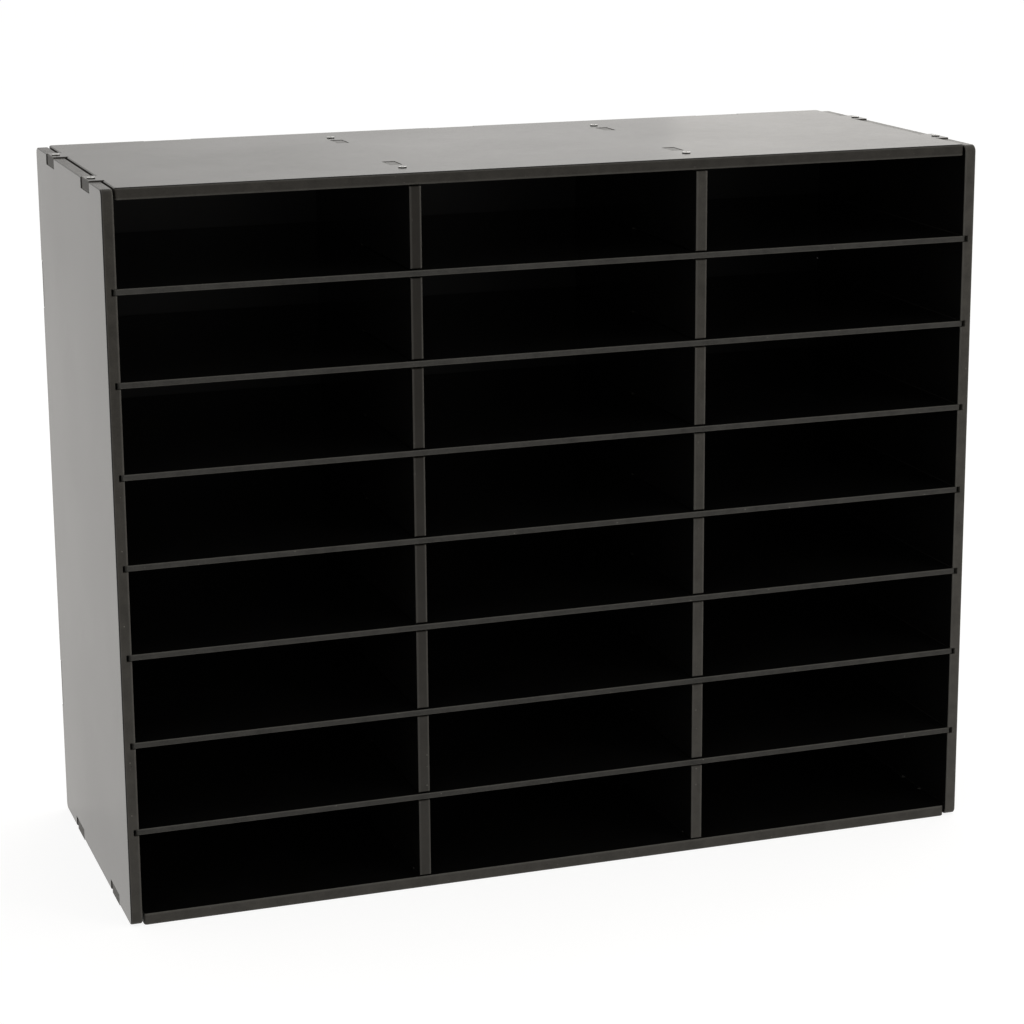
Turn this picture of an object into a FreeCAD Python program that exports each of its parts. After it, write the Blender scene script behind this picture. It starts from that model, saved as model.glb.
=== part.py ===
import FreeCAD, Part
import math
import os

# Pigeonhole mail sorter: a knock-down carcass of boards, with shelves that slide in from the front.
# Millimetres. +X is to the right, the open front faces -Y, +Z is up.
# The origin lies on the surface that the sorter stands on, under the middle of its outer box.

# Pigeonholes
column_count = 3
row_count = 8
bay_width = 234.0
bay_height = 68.0
overall_depth = 290.0

# Boards
side_thickness = 9.5
divider_thickness = 9.5
top_thickness = 9.5
bottom_thickness = 9.5
shelf_thickness = 4.8
back_thickness = 5.0
side_corner_radius = 5.5
panel_corner_radius = 2.5
board_edge_chamfer = 0.7
shelf_edge_chamfer = 0.6
shelf_corner_cut = 1.5

# How far the boards stand from the front and rear edges of the side panels, and from their ends
panel_front_recess = 1.3
panel_rear_recess = 0.5
divider_front_recess = 1.0
shelf_front_recess = 0.5
back_recess = 0.5
panel_proud = 1.0
panel_end_gap = 1.4
tab_end_recess = 0.3

# Tabs of the top and bottom panels, in notches of the side panels
side_tab_length = 29.5
tab_setback = 64.0
notch_front_gap = 1.5
notch_rear_gap = 5.0
notch_floor_gap = 0.3
relief_radius = 1.6

# Tabs of the dividers, in mortises of the top and bottom panels, and the gap at their front corners
divider_tab_length = 22.0
mortise_gap = 0.6
divider_corner_gap = 1.3
divider_corner_depth = 20.0

# Tabs of the back panel, in notches of the rear edges
back_tab_length = 40.0
back_tab_gap = 0.6
back_tab_count = 3
back_tab_setback_x = 113.0
back_tab_setback_z = 119.0
back_edge_gap = 0.3

# Shelf grooves, and the half laps between shelves and dividers
groove_depth = 4.4
groove_gap = 0.25
groove_stop = 2.0
ear_engagement = 2.4
ear_end_gap = 0.5
shelf_rear_gap = 1.5
shelf_side_gap = 1.0
lap_side_gap = 0.5
lap_height_gap = 1.2
lap_end_gap = 1.0
lap_mouth_radius = 1.5
lap_flare = 1.5

# Countersunk screws, and the holes they sit in
screw_sides = 12
screw_head_radius = 3.4
screw_head_height = 2.3
screw_rim_height = 0.4
screw_shank_radius = 1.7
screw_length = 25.0
screw_tip_length = 4.0
screw_sink = 0.2
top_screw_proud = 0.8
seat_gap = 0.1
pilot_end_gap = 1.0
divider_screw_setback = 35.0
back_screw_length = 16.0
back_screw_row = 1

# An edge counts as running along an axis above this cosine, and points closer than this are one
along_limit = 0.5
same_place = 1e-6
full_turn = 360.0

# Places that follow from the sizes above
inner_half_width = (column_count * bay_width + (column_count - 1) * divider_thickness) / 2
half_width = inner_half_width + side_thickness
row_pitch = bay_height + shelf_thickness
clear_height = row_count * row_pitch - shelf_thickness
inner_bottom_z = bottom_thickness
inner_top_z = inner_bottom_z + clear_height
top_z = inner_top_z + top_thickness
side_bottom_z = panel_proud
side_top_z = top_z - panel_proud
front_y = -overall_depth / 2
rear_y = overall_depth / 2
back_rear_y = rear_y - back_recess
back_front_y = back_rear_y - back_thickness
lap_y = (front_y + back_front_y) / 2
side_mid_x = inner_half_width + side_thickness / 2
tab_end_x = half_width - tab_end_recess
panel_half_width = inner_half_width - panel_end_gap
groove_height = shelf_thickness + 2 * groove_gap
groove_end_y = back_front_y - groove_stop
shelf_rear_y = back_front_y - shelf_rear_gap
shelf_front_y = front_y + shelf_front_recess
side_tab_places = (front_y + tab_setback, back_front_y - tab_setback)
divider_screw_places = (front_y + divider_screw_setback, back_front_y - divider_screw_setback)
divider_places = [
    -inner_half_width + column * (bay_width + divider_thickness) - divider_thickness / 2
    for column in range(1, column_count)
]
shelf_places = [inner_top_z - row * row_pitch + shelf_thickness for row in range(1, row_count)]
back_tab_span_x = 2 * (half_width - back_tab_setback_x)
back_tab_places_x = [
    -back_tab_span_x / 2 + index * back_tab_span_x / (back_tab_count - 1)
    for index in range(back_tab_count)
]
back_tab_places_z = (back_tab_setback_z, top_z - back_tab_setback_z)
back_screw_places_z = [
    inner_bottom_z + row * row_pitch + bay_height / 2
    for row in (back_screw_row, row_count - 1 - back_screw_row)
]


def in_space(normal, u, v, w):
    """A point of a board whose thickness runs along the normal axis, at w."""
    if normal == "x":
        return FreeCAD.Vector(w, u, v)
    if normal == "y":
        return FreeCAD.Vector(u, w, v)
    return FreeCAD.Vector(u, v, w)


def rounded_wire(normal, corners, w):
    """A closed outline at w. Each corner is (u, v, radius), and a radius of 0 leaves it sharp."""
    ends = []
    for index, (u, v, radius) in enumerate(corners):
        here = in_space(normal, u, v, w)
        if radius == 0:
            ends.append((here, here, here))
            continue
        before = in_space(normal, *corners[index - 1][:2], w)
        after = in_space(normal, *corners[(index + 1) % len(corners)][:2], w)
        back = (before - here).normalize()
        onward = (after - here).normalize()
        half_angle = back.getAngle(onward) / 2
        reach = radius / math.tan(half_angle)
        centre = here + (back + onward).normalize() * (radius / math.sin(half_angle))
        middle = centre + (here - centre).normalize() * radius
        ends.append((here + back * reach, middle, here + onward * reach))
    edges = []
    for index, (start, middle, end) in enumerate(ends):
        if not start.isEqual(end, same_place):
            edges.append(Part.Arc(start, middle, end).toShape())
        following = ends[(index + 1) % len(ends)][0]
        if not end.isEqual(following, same_place):
            edges.append(Part.makeLine(end, following))
    return Part.Wire(edges)


def plate(normal, corners, low, high):
    """A flat board with the given outline, from low to high along its normal."""
    face = Part.Face(rounded_wire(normal, corners, low))
    return face.extrude(in_space(normal, 0, 0, high - low))


def rectangle(low_u, high_u, low_v, high_v, radius=0):
    """The four corners of a rectangle, rounded to one radius."""
    return [
        (low_u, low_v, radius),
        (high_u, low_v, radius),
        (high_u, high_v, radius),
        (low_u, high_v, radius),
    ]


def block(low_x, high_x, low_y, high_y, low_z, high_z):
    """A square-edged block between two corners."""
    return plate("z", rectangle(low_x, high_x, low_y, high_y), low_z, high_z)


def runs_along(edge, axis):
    """True for an edge that starts out along an axis."""
    return abs(edge.tangentAt(edge.FirstParameter).dot(FreeCAD.Vector(*axis))) > along_limit


def ease_outline(board, normal_axis, chamfer):
    """Chamfers both outlines of a board, whose thickness runs along the normal axis."""
    return board.makeChamfer(chamfer, [edge for edge in board.Edges if not runs_along(edge, normal_axis)])


def ease_front(board, edge_axes, board_front_y, chamfer):
    """Chamfers the edges that run along any of the axes at the board's front."""
    at_front = [edge for edge in board.Edges if abs(edge.CenterOfMass.y - board_front_y) < same_place]
    return board.makeChamfer(
        chamfer, [edge for edge in at_front if any(runs_along(edge, axis) for axis in edge_axes)]
    )


def screw(tip_direction, head_centre, length):
    """A countersunk screw with its head's flat face at head_centre."""
    profile = [
        (screw_head_radius, 0),
        (screw_head_radius, screw_rim_height),
        (screw_shank_radius, screw_head_height),
        (screw_shank_radius, length - screw_tip_length),
    ]
    return turned(profile, length, tip_direction, head_centre)


def screw_seat(tip_direction, face_centre, length, sink):
    """What a screw takes out of the boards: countersink, shank hole and pilot hole, seat_gap wider."""
    profile = [
        (screw_head_radius + seat_gap, -abs(sink) - seat_gap),
        (screw_head_radius + seat_gap, sink + screw_rim_height),
        (screw_shank_radius + seat_gap, sink + screw_head_height),
        (screw_shank_radius + seat_gap, length - screw_tip_length + pilot_end_gap),
    ]
    return turned(profile, length + pilot_end_gap, tip_direction, face_centre)


def turned(profile, tip_distance, direction, start):
    """A pointed solid about a direction, with screw_sides flats; each profile point is (radius, distance)."""
    axis = FreeCAD.Vector(*direction)
    across = FreeCAD.Vector(axis.z, axis.x, axis.y)
    rings = [ring(start + axis * distance, axis, across * radius) for radius, distance in profile]
    tip = start + axis * tip_distance
    faces = [Part.Face(Part.makePolygon(rings[0]))]
    for near, far in zip(rings, rings[1:]):
        for side in range(screw_sides):
            corners = [near[side], near[side + 1], far[side + 1], far[side], near[side]]
            faces.append(Part.Face(Part.makePolygon(corners)))
    for side in range(screw_sides):
        corners = [rings[-1][side], rings[-1][side + 1], tip, rings[-1][side]]
        faces.append(Part.Face(Part.makePolygon(corners)))
    return Part.makeSolid(Part.makeShell(faces))


def ring(centre, axis, spoke):
    """The corners of a regular polygon about an axis, with the first one repeated at the end."""
    angles = [full_turn * (corner % screw_sides) / screw_sides for corner in range(screw_sides + 1)]
    return [centre + FreeCAD.Rotation(axis, angle).multVec(spoke) for angle in angles]


def screw_and_seat(tip_direction, face_centre, length, sink):
    """The screw with its head that far below a face, and the hole that it needs."""
    axis = FreeCAD.Vector(*tip_direction)
    return (
        screw(tip_direction, face_centre + axis * sink, length),
        screw_seat(tip_direction, face_centre, length, sink),
    )


def level_sink(panel):
    """How deep a head lies below its face: above the top (panel 1), sunk in the bottom (panel -1)."""
    return -top_screw_proud if panel > 0 else screw_sink


def screws_into_side(side, panel):
    """Screws and seats of one end of the top (panel 1) or bottom (panel -1), on the tabs."""
    face_z = top_z if panel > 0 else 0
    return [
        screw_and_seat(
            (0, 0, -panel), FreeCAD.Vector(side * side_mid_x, place, face_z), screw_length, level_sink(panel)
        )
        for place in side_tab_places
    ]


def screws_into_divider(divider_x, panel):
    """Screws and seats of the top (panel 1) or bottom (panel -1) over one divider."""
    face_z = top_z if panel > 0 else 0
    return [
        screw_and_seat(
            (0, 0, -panel), FreeCAD.Vector(divider_x, place, face_z), screw_length, level_sink(panel)
        )
        for place in divider_screw_places
    ]


def screws_into_divider_rear(divider_x):
    """Screws and seats of the back panel behind one divider."""
    return [
        screw_and_seat(
            (0, -1, 0), FreeCAD.Vector(divider_x, back_rear_y, place), back_screw_length, screw_sink
        )
        for place in back_screw_places_z
    ]


def seats(pairs):
    """The cutting shapes of a list of screw and seat pairs."""
    return [seat for _, seat in pairs]


def side_panel(side):
    """A side panel with its grooves, tab notches, back notches and pilot holes; side is -1 or 1."""
    board = plate(
        "x",
        rectangle(front_y, rear_y, side_bottom_z, side_top_z, side_corner_radius),
        inner_half_width,
        half_width,
    )
    board = ease_outline(board, (1, 0, 0), board_edge_chamfer)
    cuts = []
    beyond = board_edge_chamfer + panel_proud
    for place in side_tab_places:
        low_y = place - side_tab_length / 2 - notch_front_gap
        high_y = place + side_tab_length / 2 + notch_rear_gap
        over = inner_top_z - notch_floor_gap
        under = inner_bottom_z + notch_floor_gap
        cuts.append(block(inner_half_width, half_width, low_y, high_y, over, side_top_z + beyond))
        cuts.append(block(inner_half_width, half_width, low_y, high_y, side_bottom_z - beyond, under))
    notch_half = back_tab_length / 2 + back_tab_gap
    for place in back_tab_places_z:
        low_z = place - notch_half
        high_z = place + notch_half
        cuts.append(block(inner_half_width, half_width, back_front_y, rear_y + beyond, low_z, high_z))
    for place in shelf_places:
        cuts.append(groove(place))
    board = board.cut(cuts)
    if side < 0:
        board = board.mirror(FreeCAD.Vector(0, 0, 0), FreeCAD.Vector(1, 0, 0))
    pilots = seats(screws_into_side(side, 1)) + seats(screws_into_side(side, -1))
    return board.cut(pilots)


def groove(shelf_top_z):
    """The groove of one shelf in the right side panel, open at the front and stopped short of the back."""
    high_z = shelf_top_z + groove_gap
    low_z = high_z - groove_height
    mouth_y = front_y - side_corner_radius
    return block(inner_half_width, inner_half_width + groove_depth, mouth_y, groove_end_y, low_z, high_z)


def level_panel(panel, low_z, high_z):
    """The top panel (panel 1) or bottom panel (panel -1), between two heights."""
    panel_front_y = front_y + panel_front_recess
    panel_rear_y = rear_y - panel_rear_recess
    outline = rectangle(-panel_half_width, panel_half_width, panel_front_y, panel_rear_y, panel_corner_radius)
    board = plate("z", outline, low_z, high_z)
    board = ease_outline(board, (0, 0, 1), board_edge_chamfer)
    tabs = []
    cuts = []
    root_x = panel_half_width - 2 * board_edge_chamfer
    for side in (-1, 1):
        near_x, far_x = sorted((side * root_x, side * tab_end_x))
        for place in side_tab_places:
            tab_front = place - side_tab_length / 2
            tab_rear = place + side_tab_length / 2
            tabs.append(block(near_x, far_x, tab_front, tab_rear, low_z, high_z))
            for relief_y in (tab_front - relief_radius, tab_rear + relief_radius):
                centre = FreeCAD.Vector(side * panel_half_width, relief_y, low_z)
                cuts.append(Part.makeCylinder(relief_radius, high_z - low_z, centre))
        cuts += seats(screws_into_side(side, panel))
    for divider_x in divider_places:
        half_x = divider_thickness / 2 + mortise_gap
        half_y = divider_tab_length / 2 + mortise_gap
        for place in side_tab_places:
            low_x = divider_x - half_x
            high_x = divider_x + half_x
            cuts.append(block(low_x, high_x, place - half_y, place + half_y, low_z, high_z))
        cuts += seats(screws_into_divider(divider_x, panel))
    notch_half = back_tab_length / 2 + back_tab_gap
    for place in back_tab_places_x:
        cuts.append(block(place - notch_half, place + notch_half, back_front_y, rear_y, low_z, high_z))
    return board.fuse(tabs).removeSplitter().cut(cuts)


def divider(divider_x):
    """A divider with its tabs, shelf notches and pilot holes, and with its front corners cut back."""
    low_x = divider_x - divider_thickness / 2
    high_x = divider_x + divider_thickness / 2
    divider_front_y = front_y + divider_front_recess
    board = block(low_x, high_x, divider_front_y, back_front_y, inner_bottom_z, inner_top_z)
    corner_y = divider_front_y + divider_corner_depth
    corners = [
        block(low_x, high_x, divider_front_y, corner_y, inner_top_z - divider_corner_gap, inner_top_z),
        block(low_x, high_x, divider_front_y, corner_y, inner_bottom_z, inner_bottom_z + divider_corner_gap),
    ]
    board = ease_front(board.cut(corners), [(1, 0, 0), (0, 0, 1)], divider_front_y, board_edge_chamfer)
    tabs = []
    for place in side_tab_places:
        tab_front = place - divider_tab_length / 2
        tab_rear = place + divider_tab_length / 2
        tabs.append(block(low_x, high_x, tab_front, tab_rear, inner_top_z, top_z - tab_end_recess))
        tabs.append(block(low_x, high_x, tab_front, tab_rear, tab_end_recess, inner_bottom_z))
    cuts = [shelf_notch(low_x, high_x, divider_front_y, place) for place in shelf_places]
    for panel in (-1, 1):
        cuts += seats(screws_into_divider(divider_x, panel))
    cuts += seats(screws_into_divider_rear(divider_x))
    return board.fuse(tabs).removeSplitter().cut(cuts)


def shelf_notch(low_x, high_x, mouth_y, shelf_top_z):
    """What a divider loses to let one shelf slide in: a slot with a rounded mouth."""
    high_z = shelf_top_z + lap_height_gap
    low_z = shelf_top_z - shelf_thickness - lap_height_gap
    end_y = lap_y + lap_end_gap / 2
    outside_y = mouth_y - lap_mouth_radius
    outline = [
        (outside_y, low_z - lap_mouth_radius, 0),
        (mouth_y, low_z - lap_mouth_radius, 0),
        (mouth_y, low_z, lap_mouth_radius),
        (end_y, low_z, 0),
        (end_y, high_z, 0),
        (mouth_y, high_z, lap_mouth_radius),
        (mouth_y, high_z + lap_mouth_radius, 0),
        (outside_y, high_z + lap_mouth_radius, 0),
    ]
    return plate("x", outline, low_x, high_x)


def shelf(top):
    """A shelf across all the bays: ears in the side grooves, slots from the rear over the dividers."""
    bottom = top - shelf_thickness
    ear_half_width = inner_half_width + ear_engagement
    body_half_width = inner_half_width - shelf_side_gap
    ear_rear_y = groove_end_y - ear_end_gap
    outline = [
        (shelf_corner_cut - ear_half_width, shelf_front_y, 0),
        (ear_half_width - shelf_corner_cut, shelf_front_y, 0),
        (ear_half_width, shelf_front_y + shelf_corner_cut, 0),
        (ear_half_width, shelf_rear_y, 0),
        (-ear_half_width, shelf_rear_y, 0),
        (-ear_half_width, shelf_front_y + shelf_corner_cut, 0),
    ]
    board = plate("z", outline, bottom, top)
    board = ease_front(board, [(1, 0, 0)], shelf_front_y, shelf_edge_chamfer)
    cuts = []
    for side in (-1, 1):
        near_x, far_x = sorted((side * body_half_width, side * (ear_half_width + shelf_side_gap)))
        behind_y = shelf_rear_y + shelf_rear_gap
        cuts.append(block(near_x, far_x, ear_rear_y, behind_y, bottom, top))
    for divider_x in divider_places:
        cuts.append(divider_slot(divider_x, bottom, top))
    return board.cut(cuts)


def divider_slot(divider_x, bottom, top):
    """What a shelf loses to straddle one divider: a slot from its rear edge with a flared mouth."""
    half = divider_thickness / 2 + lap_side_gap
    end_y = lap_y - lap_end_gap / 2
    outline = [
        (divider_x - half - lap_flare, shelf_rear_y, 0),
        (divider_x - half, shelf_rear_y - lap_flare, 0),
        (divider_x - half, end_y, 0),
        (divider_x + half, end_y, 0),
        (divider_x + half, shelf_rear_y - lap_flare, 0),
        (divider_x + half + lap_flare, shelf_rear_y, 0),
    ]
    return plate("z", outline, bottom, top)


def back_panel():
    """The back, with tabs into the rear edges of the sides, top and bottom, screwed to the dividers."""
    half_body = inner_half_width - back_edge_gap
    low_z = inner_bottom_z + back_edge_gap
    high_z = inner_top_z - back_edge_gap
    outline = rectangle(-half_body, half_body, low_z, high_z)
    board = plate("y", outline, back_front_y, back_rear_y)
    half_tab = back_tab_length / 2
    tabs = []
    for place in back_tab_places_x:
        reach = (tab_end_recess, low_z), (high_z, top_z - tab_end_recess)
        for start_z, end_z in reach:
            tabs.append(back_tab(place - half_tab, place + half_tab, start_z, end_z))
    for place in back_tab_places_z:
        reach = (-tab_end_x, -half_body), (half_body, tab_end_x)
        for start_x, end_x in reach:
            tabs.append(back_tab(start_x, end_x, place - half_tab, place + half_tab))
    cuts = []
    for divider_x in divider_places:
        cuts += seats(screws_into_divider_rear(divider_x))
    return board.fuse(tabs).removeSplitter().cut(cuts)


def back_tab(low_x, high_x, low_z, high_z):
    """One tab of the back, as thick as the back."""
    return plate("y", rectangle(low_x, high_x, low_z, high_z), back_front_y, back_rear_y)


def export(name, shape):
    """Writes one piece, or one group of like screws."""
    shape.exportStep("parts/" + name + ".step")


def export_screws(name, pairs):
    """Writes the screws of a list of screw and seat pairs as one group."""
    export(name, Part.makeCompound([one_screw for one_screw, _ in pairs]))


os.makedirs("parts", exist_ok=True)

export("side_panel_left", side_panel(-1))
export("side_panel_right", side_panel(1))
export("top_panel", level_panel(1, inner_top_z, top_z))
export("bottom_panel", level_panel(-1, 0, inner_bottom_z))
export("back_panel", back_panel())
for number, place in enumerate(divider_places, start=1):
    export(f"divider_{number}", divider(place))
    export_screws(f"top_divider_screws_{number}", screws_into_divider(place, 1))
    export_screws(f"bottom_divider_screws_{number}", screws_into_divider(place, -1))
    export_screws(f"back_screws_{number}", screws_into_divider_rear(place))
for number, place in enumerate(shelf_places, start=1):
    export(f"shelf_{number}", shelf(place))
for side_name, side in (("left", -1), ("right", 1)):
    export_screws(f"top_side_screws_{side_name}", screws_into_side(side, 1))
    export_screws(f"bottom_side_screws_{side_name}", screws_into_side(side, -1))
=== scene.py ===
"""A pigeonhole mail sorter of black boards, dressed and set in a plain studio.

It has three columns by eight rows. Seven boards make the carcass, seven thin shelves slide into it, and
twenty countersunk screws hold it together. Every length is in metres, unless its name says otherwise, and
every angle in radians.
"""

import logging
import math
from dataclasses import dataclass, field
from enum import Enum

import bmesh
import bpy
from mathutils import Matrix, Vector


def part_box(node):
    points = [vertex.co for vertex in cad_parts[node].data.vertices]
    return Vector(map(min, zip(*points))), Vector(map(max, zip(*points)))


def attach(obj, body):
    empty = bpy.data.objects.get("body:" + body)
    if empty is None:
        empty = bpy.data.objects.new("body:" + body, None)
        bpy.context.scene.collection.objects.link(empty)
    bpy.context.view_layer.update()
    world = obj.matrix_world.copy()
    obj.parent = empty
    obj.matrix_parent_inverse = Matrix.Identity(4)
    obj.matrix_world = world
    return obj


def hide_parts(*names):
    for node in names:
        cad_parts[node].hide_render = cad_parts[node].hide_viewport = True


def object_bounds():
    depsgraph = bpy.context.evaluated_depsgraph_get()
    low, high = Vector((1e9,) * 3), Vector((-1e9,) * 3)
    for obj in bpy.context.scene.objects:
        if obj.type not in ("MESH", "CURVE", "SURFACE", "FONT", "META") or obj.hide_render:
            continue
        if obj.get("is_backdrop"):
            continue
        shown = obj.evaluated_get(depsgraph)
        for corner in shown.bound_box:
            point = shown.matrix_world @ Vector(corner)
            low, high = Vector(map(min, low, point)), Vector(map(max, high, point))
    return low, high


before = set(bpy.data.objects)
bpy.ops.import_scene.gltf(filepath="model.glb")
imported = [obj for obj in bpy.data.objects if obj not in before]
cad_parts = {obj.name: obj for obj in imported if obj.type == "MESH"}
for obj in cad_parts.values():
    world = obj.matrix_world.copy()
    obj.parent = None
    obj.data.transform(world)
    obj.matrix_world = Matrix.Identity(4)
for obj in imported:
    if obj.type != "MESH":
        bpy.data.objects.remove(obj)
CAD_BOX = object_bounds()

Colour = tuple[float, float, float, float]
Span = tuple[float, float]
Place = tuple[float, float, float]
Socket = bpy.types.NodeSocket
Number = float | Socket
Tint = Colour | Socket
Values = dict[str | int, object]

MM = 0.001
CARCASS = "carcass"
ACROSS_ATTRIBUTE = "across"
# The vertex attribute with each board's edge darkness, partly painted shade.
EDGE_DARKNESS_ATTRIBUTE = "edge_darkness"
WHITE: Colour = (1.0, 1.0, 1.0, 1.0)
WHOLE: Span = (0.0, 1.0)

# The upward part of a normal, from a slope of sixty degrees to a level face.
UPWARD: Span = (0.5, 1.0)

# How long a wave of a diagonal wave texture of scale one is, measured along one of the three directions.
WAVE_LENGTH = math.tau / 10

log = logging.getLogger("mail_sorter")


class Axis(Enum):
    """The three directions, by their places in a vector."""

    ACROSS = 0
    DEEP = 1
    UPRIGHT = 2


class Facing(Enum):
    """The way that a screw's head looks."""

    UP = "up"
    DOWN = "down"
    REAR = "rear"

    def turn(self) -> Matrix:
        """Give the turn that takes a screw from head up to this facing."""
        angle = {Facing.UP: 0.0, Facing.DOWN: math.pi, Facing.REAR: -math.pi / 2}[self]
        return Matrix.Rotation(angle, 4, "X")


class Slot(Enum):
    """The record's material slots."""

    BOARD = "board_black"
    SHELF = "shelf_black"
    ZINC = "screw_zinc"


class Skin(Enum):
    """The three finishes of a board's surface, in the order of its materials."""

    FILM = 0
    ROUTED = 1
    # The eased arrises: a paler copy of the edge finish, a painted highlight.
    ARRIS_HIGHLIGHT = 2


class Plating(Enum):
    """The two finishes of a screw, in the order of its materials."""

    BRIGHT = 0
    # The dark zinc is painted shade, in the recess and under the head.
    PAINTED_SHADE = 1


class Effect(Enum):
    """The surface effects that the finishes share, by the name of the node group."""

    CLOUD = "cloudy_tone"
    GRAIN = "fine_grain"
    FLECKS = "fibre_flecks"
    RIPPLE = "cutter_ripple"
    DUST = "settled_dust"


# ------------------------------------------------------------------------------------------------
# Node wiring and shared effects


class Wiring:
    """A node tree with short ways to add nodes and join them."""

    def __init__(self, tree: bpy.types.NodeTree) -> None:
        """Keep the tree that the nodes are added to."""
        self.tree = tree

    def feed(self, entry: Socket, value: object) -> None:
        """Set an input.

        Args:
            entry: The input.
            value: A number or a colour, or the output that feeds it.
        """
        if isinstance(value, Socket):
            self.tree.links.new(value, entry)
        else:
            entry.default_value = value

    def add(self, kind: str, values: Values | None = None, **settings: object) -> bpy.types.Node:
        """Add a node.

        Args:
            kind: The node's type name, without the leading ShaderNode.
            values: What each input gets, by its name or number.
            settings: The node's own properties.

        Returns:
            The new node.
        """
        node = self.tree.nodes.new(kind if kind.startswith("NodeGroup") else "ShaderNode" + kind)
        for name, value in settings.items():
            setattr(node, name, value)
        for key, value in (values or {}).items():
            self.feed(node.inputs[key], value)
        return node

    def effect(self, group: bpy.types.NodeTree, **values: object) -> bpy.types.NodeOutputs:
        """Place a shared effect, whose inputs are named with underscores for spaces, and give its outputs."""
        inputs = {name.replace("_", " "): value for name, value in values.items()}
        return self.add("Group", inputs, node_tree=group).outputs

    def maths(self, operation: str, first: Number, second: Number = 0.0, clamp: bool = False) -> Socket:
        """Work on one or two numbers, and hold the result between nought and one if clamp is set."""
        return self.add("Math", {0: first, 1: second}, operation=operation, use_clamp=clamp).outputs[0]

    def plus(self, first: Number, second: Number, clamp: bool = False) -> Socket:
        """Add two numbers."""
        return self.maths("ADD", first, second, clamp)

    def minus(self, first: Number, second: Number, clamp: bool = False) -> Socket:
        """Take the second number from the first."""
        return self.maths("SUBTRACT", first, second, clamp)

    def times(self, first: Number, second: Number) -> Socket:
        """Multiply two numbers."""
        return self.maths("MULTIPLY", first, second)

    def over(self, first: Number, second: Number) -> Socket:
        """Divide the first number by the second."""
        return self.maths("DIVIDE", first, second)

    def weigh(self, share: float, first: Number, second: Number) -> Socket:
        """Mix two numbers, by the share of the first."""
        return self.plus(self.times(first, share), self.times(second, 1 - share))

    def ramp(self, value: Number, span: Span, results: Span = WHOLE) -> Socket:
        """Map the span of a value to its results, held at its ends."""
        limits = dict(enumerate((*span, *results), start=1))
        return self.add("MapRange", {0: value, **limits}).outputs[0]

    def blend(self, share: Number, first: Tint, second: Tint) -> Socket:
        """Mix two colours, by the share of the second."""
        return self.add("Mix", {0: share, 6: first, 7: second}, data_type="RGBA").outputs[2]

    def noise(self, place: Socket, size: Number, detail: float, breakup: Number) -> Socket:
        """Give a cloudy noise with patches of a size."""
        values = {"Vector": place, "Scale": self.over(1.0, size), "Detail": detail, "Roughness": breakup}
        return self.add("TexNoise", values).outputs[0]

    def part(self, vector: Socket, axis: Axis) -> Socket:
        """Give the part of a vector that runs along an axis."""
        return self.add("SeparateXYZ", {0: vector}).outputs[axis.value]

    def looks_up(self, results: Span = WHOLE) -> Socket:
        """Give how far the surface looks up, from the first result on a steep face to the second."""
        normal = self.add("NewGeometry").outputs["Normal"]
        return self.ramp(self.part(normal, Axis.UPRIGHT), UPWARD, results)

    def bump(self, height: Socket, strength: float, distance: float) -> Socket:
        """Give the normal of a surface that has a height in it."""
        return self.add("Bump", {"Height": height, "Strength": strength, "Distance": distance}).outputs[0]


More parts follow.
